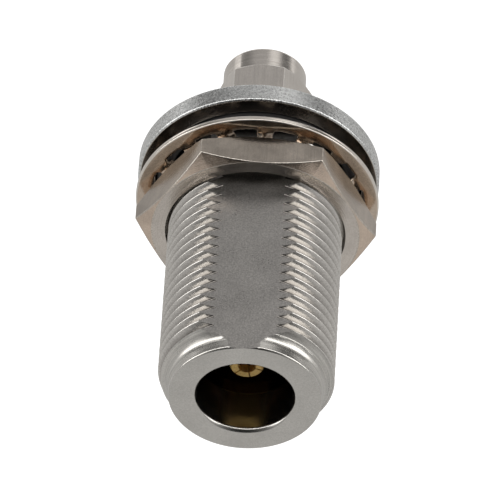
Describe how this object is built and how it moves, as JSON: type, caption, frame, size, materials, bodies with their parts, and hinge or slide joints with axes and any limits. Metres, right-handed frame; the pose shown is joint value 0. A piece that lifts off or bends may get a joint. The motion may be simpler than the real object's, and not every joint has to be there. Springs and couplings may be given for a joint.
{
  "type": "n type connector",
  "caption": "Bulkhead coaxial adapter: threaded jack with key flat, flange, hex panel nut, toothed lock washer, slotted gilt contact, and a small plug with a free coupling nut behind.",
  "frame": {"origin": "on the connector's axis, in the plane of the flange's seating face, as it sits in an upright panel", "axes": "-Y along the axis out of the jack's mouth, +Y out of the plug's end, +Z square to the barrel's key flat, +X to the right seen from the mouth"},
  "size_m": [0.0222, 0.04, 0.0222],
  "materials": {
    "shell_nickel": "satin nickel plate over turned brass",
    "nut_nickel": "satin nickel plate over brass",
    "coupling_nickel": "satin nickel plate over turned brass",
    "plug_nickel": "satin nickel plate over turned brass",
    "washer_metal": "nickel-plated spring bronze, pressed",
    "ring_metal": "plain spring steel",
    "gold": "gold plate",
    "insulator": "white, waxy",
    "seal_rubber": "matt black",
    "gasket_silicone": "red-brown silicone"
  },
  "bodies": {
    "connector": {"shell": "shell_nickel", "flange_seal": "seal_rubber", "socket_contact": "gold", "contact_bead": "insulator", "plug_body": "plug_nickel", "plug_dielectric": "insulator", "plug_pin": "gold", "plug_gasket": "gasket_silicone"},
    "washer": {"lock_washer": "washer_metal"},
    "nut": {"panel_nut": "nut_nickel"},
    "ring": {"retaining_ring": "ring_metal"},
    "coupling": {"coupling_nut": "coupling_nickel"}
  },
  "joints": [
    {"name": "nut_travel", "type": "slide", "parent": "connector", "child": "washer", "axis": [0, -1, 0], "range_m": [-0.001, 0.0177]},
    {"name": "nut_turn", "type": "hinge", "parent": "washer", "child": "nut", "pos_m": [0, -0.00474, 0], "axis": [0, -1, 0], "range_deg": [-340, 6015]},
    {"name": "coupling_float", "type": "slide", "parent": "connector", "child": "ring", "axis": [0, 1, 0], "range_m": [-0.0002, 0.0002]},
    {"name": "coupling_turn", "type": "hinge", "parent": "ring", "child": "coupling", "pos_m": [0, 0.0092, 0], "axis": [0, 1, 0], "continuous": true}
  ],
  "couplings": [
    {"joint": "nut_travel", "follows": "nut_turn", "m_per_rad": 0.00016844}
  ]
}
